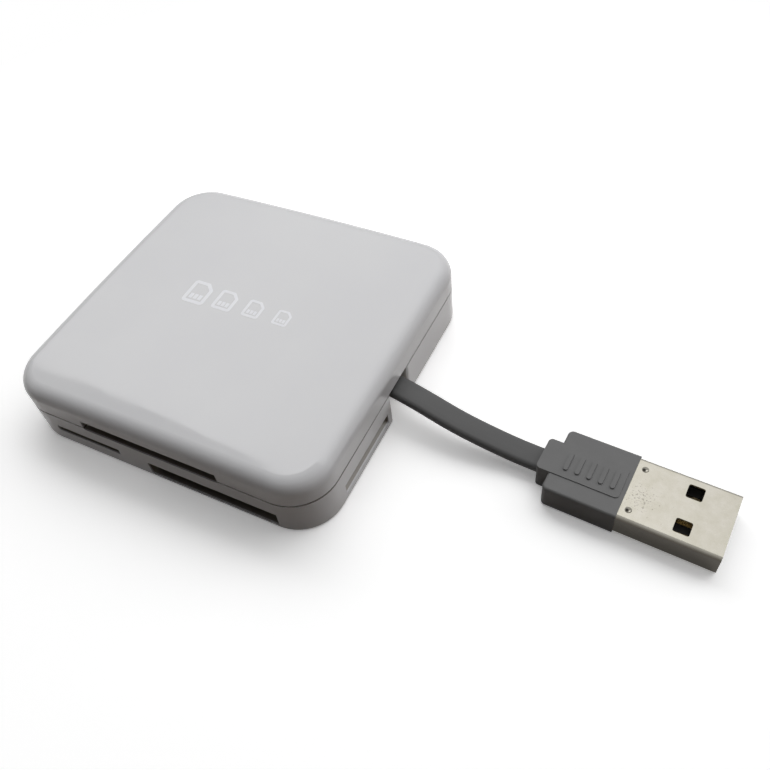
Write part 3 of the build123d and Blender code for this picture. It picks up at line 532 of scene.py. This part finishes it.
first_bar = add_node(tree, "ShaderNodeMath", {0: bars_reach.outputs[0], 1: -0.5}, operation="MULTIPLY")
bar_start = add_node(tree, "ShaderNodeCombineXYZ", {"X": first_bar.outputs[0], "Y": given["Bar Height"]})
bar_spots = add_node(tree, "GeometryNodeMeshLine", {
    "Count": given["Bar Count"], "Start Location": bar_start.outputs[0], "Offset": bar_step.outputs[0]})
bars = add_node(tree, "GeometryNodeInstanceOnPoints", {
    "Points": bar_spots.outputs[0], "Instance": bar.outputs["Mesh"]})
card = add_node(tree, "GeometryNodeJoinGeometry", {"Geometry": outline_film.outputs[0]})
tree.links.new(bars.outputs[0], card.inputs["Geometry"])
card_step = add_node(tree, "ShaderNodeCombineXYZ", {"X": given["Card Pitch"]})
card_spots = add_node(tree, "GeometryNodeMeshLine", {
    "Count": given["Card Count"], "Start Location": given["Row Start"], "Offset": card_step.outputs[0]})
place_in_row = add_node(tree, "GeometryNodeInputIndex", {})
card_scale = add_node(tree, "ShaderNodeMath", {
    0: given["Shrink"], 1: place_in_row.outputs[0]}, operation="POWER")
flat_scale = add_node(tree, "ShaderNodeCombineXYZ", {
    "X": card_scale.outputs[0], "Y": card_scale.outputs[0], "Z": 1.0})
card_row = add_node(tree, "GeometryNodeInstanceOnPoints", {
    "Points": card_spots.outputs[0], "Instance": card.outputs[0], "Scale": flat_scale.outputs[0]})
real_row = add_node(tree, "GeometryNodeRealizeInstances", {"Geometry": card_row.outputs[0]})
spot = add_node(tree, "GeometryNodeInputPosition", {})
plan = add_node(tree, "ShaderNodeVectorMath", {0: spot.outputs[0], 1: (1, 1, 0)}, operation="MULTIPLY")
plan_squared = add_node(tree, "ShaderNodeVectorMath", {
    0: plan.outputs[0], 1: plan.outputs[0]}, operation="DOT_PRODUCT")
crown_width = add_node(tree, "ShaderNodeMath", {0: given["Crown Radius"], 1: -2.0}, operation="MULTIPLY")
crown_drop = add_node(tree, "ShaderNodeMath", {
    0: plan_squared.outputs["Value"], 1: crown_width.outputs[0]}, operation="DIVIDE")
drop = add_node(tree, "ShaderNodeCombineXYZ", {"Z": crown_drop.outputs[0]})
crowned_row = add_node(tree, "GeometryNodeSetPosition", {
    "Geometry": real_row.outputs[0], "Offset": drop.outputs[0]})
flat_row = add_node(tree, "GeometryNodeSetShadeSmooth", {
    "Geometry": crowned_row.outputs[0], "Shade Smooth": False})
inked_row = add_node(tree, "GeometryNodeSetMaterial", {
    "Geometry": flat_row.outputs[0], "Material": given["Ink"]})
add_node(tree, "NodeGroupOutput", {"Print": inked_row.outputs[0]})
print_row = card_print.modifiers.new("print_row", "NODES")
print_row.node_group = tree
for name, (kind, value) in print_values.items():
    print_row[sockets[name]] = value
card_print.data = bpy.data.meshes.new_from_object(
    card_print.evaluated_get(bpy.context.evaluated_depsgraph_get()))
card_print.modifiers.clear()
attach(card_print, "root")

# The set: a pale paper floor, and one soft panel over and behind the left of the object.
# The room around them is dim, with a glow overhead and another low at the back on the right.
floor_mesh = bpy.data.meshes.new("floor")
floor_reach = 2.0
floor_mesh.from_pydata(
    [(-floor_reach, -floor_reach, 0), (floor_reach, -floor_reach, 0),
     (floor_reach, floor_reach, 0), (-floor_reach, floor_reach, 0)], [], [(0, 1, 2, 3)])
floor = bpy.data.objects.new("floor", floor_mesh)
bpy.context.collection.objects.link(floor)


def add_seen_ray(tree):
    ray = add_node(tree, "ShaderNodeLightPath", {})
    mirrored = add_node(tree, "ShaderNodeMath", {
        0: ray.outputs["Is Camera Ray"], 1: ray.outputs["Is Glossy Ray"]}, operation="MAXIMUM")
    return add_node(tree, "ShaderNodeMath", {
        0: mirrored.outputs[0], 1: ray.outputs["Is Transmission Ray"]}, operation="MAXIMUM")


# White paper to the eye, and in reflections, while its bounce on the object stays dim
floor_paper = bpy.data.materials.new("white paper sweep")
floor_paper.use_nodes = True
tree = floor_paper.node_tree
tree.nodes.clear()
seen = add_seen_ray(tree)
dim_paper = add_node(tree, "ShaderNodeBsdfDiffuse", {"Color": (0.12, 0.07, 0.04, 1)})
bright_paper = add_node(tree, "ShaderNodeBsdfDiffuse", {"Color": (1.3, 1.3, 1.3, 1)})
paper_lift = add_node(tree, "ShaderNodeEmission", {"Color": (1, 1, 1, 1), "Strength": 0.24})
lifted = add_node(tree, "ShaderNodeAddShader", {0: bright_paper.outputs[0], 1: paper_lift.outputs[0]})
place = add_node(tree, "ShaderNodeTexCoord", {})
reader_middle = (20 * mm, 0, 0)
shadow_reach = 60 * mm
blank_reach = 170 * mm
from_reader = add_node(tree, "ShaderNodeVectorMath", {
    0: place.outputs["Object"], 1: reader_middle}, operation="DISTANCE")
sweep_fade = add_node(tree, "ShaderNodeMapRange", {
    "Value": from_reader.outputs["Value"], "From Min": shadow_reach, "From Max": blank_reach})
far_paper = add_node(tree, "ShaderNodeEmission", {"Color": (1, 1, 1, 1), "Strength": 1.0})
sweep = add_node(tree, "ShaderNodeMixShader", {
    0: sweep_fade.outputs["Result"], 1: lifted.outputs[0], 2: far_paper.outputs[0]})
paper = add_node(tree, "ShaderNodeMixShader", {
    0: seen.outputs[0], 1: dim_paper.outputs[0], 2: sweep.outputs[0]})
add_node(tree, "ShaderNodeOutputMaterial", {"Surface": paper.outputs[0]})
floor_mesh.materials.append(floor_paper)

# The room is white to the eye. Each glow has a direction, the angles from it, in degrees,
# where it starts to fade and where it ends, and a strength
world = bpy.data.worlds.new("studio")
world.use_nodes = True
bpy.context.scene.world = world
tree = world.node_tree
tree.nodes.clear()
seen = add_seen_ray(tree)
look = add_node(tree, "ShaderNodeTexCoord", {})
room_level = 0.01
overhead_glow = ((0.12, 0.25, 0.96), 16, 36, 1.15)
right_glow = ((0.68, 0.66, 0.30), 14, 34, 1.4)
for glow_axis, inner, outer, level in (overhead_glow, right_glow):
    toward = add_node(tree, "ShaderNodeVectorMath", {
        0: look.outputs["Generated"], 1: Vector(glow_axis).normalized()}, operation="DOT_PRODUCT")
    glow = add_node(tree, "ShaderNodeMapRange", {
        "Value": toward.outputs["Value"], "From Min": cos(radians(outer)), "From Max": cos(radians(inner)),
        "To Min": 0.0, "To Max": level})
    room_level = add_node(tree, "ShaderNodeMath", {0: glow.outputs["Result"], 1: room_level}).outputs[0]
dim_room = add_node(tree, "ShaderNodeBackground", {"Color": (1, 1, 1, 1), "Strength": room_level})
white_room = add_node(tree, "ShaderNodeBackground", {"Color": (1, 1, 1, 1), "Strength": 1.0})
room = add_node(tree, "ShaderNodeMixShader", {
    0: seen.outputs[0], 1: dim_room.outputs[0], 2: white_room.outputs[0]})
add_node(tree, "ShaderNodeOutputWorld", {"Surface": room.outputs[0]})

# The panel has a sharp front edge and fades out to its sides and to the back
lamp = bpy.data.lights.new("ceiling_panel", "AREA")
lamp.shape = "RECTANGLE"
lamp.size = 2.2
lamp.size_y = 1.82
lamp.energy = 39.0
lamp.use_nodes = True
tree = lamp.node_tree
spread = add_node(tree, "ShaderNodeNewGeometry", {})
axes = add_node(tree, "ShaderNodeSeparateXYZ", {0: spread.outputs["Parametric"]})
right_fade = add_node(tree, "ShaderNodeMapRange", {
    "Value": axes.outputs["X"], "From Min": 0.4, "From Max": 0.9, "To Min": 1.0, "To Max": 0.0})
left_fade = add_node(tree, "ShaderNodeMapRange", {
    "Value": axes.outputs["X"], "From Min": 0.15, "From Max": 0.5})
back_fade = add_node(tree, "ShaderNodeMapRange", {
    "Value": axes.outputs["Y"], "From Min": 0.03, "From Max": 0.52, "To Min": 1.0, "To Max": 0.0})
side_fade = add_node(tree, "ShaderNodeMath", {
    0: right_fade.outputs["Result"], 1: left_fade.outputs["Result"]}, operation="MULTIPLY")
panel_glow = add_node(tree, "ShaderNodeMath", {
    0: side_fade.outputs[0], 1: back_fade.outputs["Result"]}, operation="MULTIPLY")
tree.links.new(panel_glow.outputs[0], tree.nodes["Emission"].inputs["Strength"])
panel = bpy.data.objects.new("ceiling_panel", lamp)
bpy.context.collection.objects.link(panel)
panel.location = (-0.165, 1.081, 0.5)
panel.rotation_euler = (0, 0, radians(-5.4))

# Camera: it stands where the photograph was taken, with the same height, turn and roll.
# Place and lens were fitted to the straight edges of the case, with the plug at its standard size.
camera_data = bpy.data.cameras.new("camera")
camera_data.sensor_width = 36.0
camera_data.lens = 37.357
camera_data.clip_start = 0.005
camera = bpy.data.objects.new("camera", camera_data)
bpy.context.collection.objects.link(camera)
camera.location = (75.986 * mm, -74.467 * mm, 113.088 * mm)
camera_turn = Quaternion((0, 0, 1), radians(32.651))
camera_tilt = Quaternion((1, 0, 0), radians(90 - 50.604))
camera_roll = Quaternion((0, 0, 1), radians(-8.305))
camera.rotation_mode = "QUATERNION"
camera.rotation_quaternion = camera_turn @ camera_tilt @ camera_roll
bpy.context.scene.camera = camera
bpy.context.scene.view_settings.view_transform = "Standard"
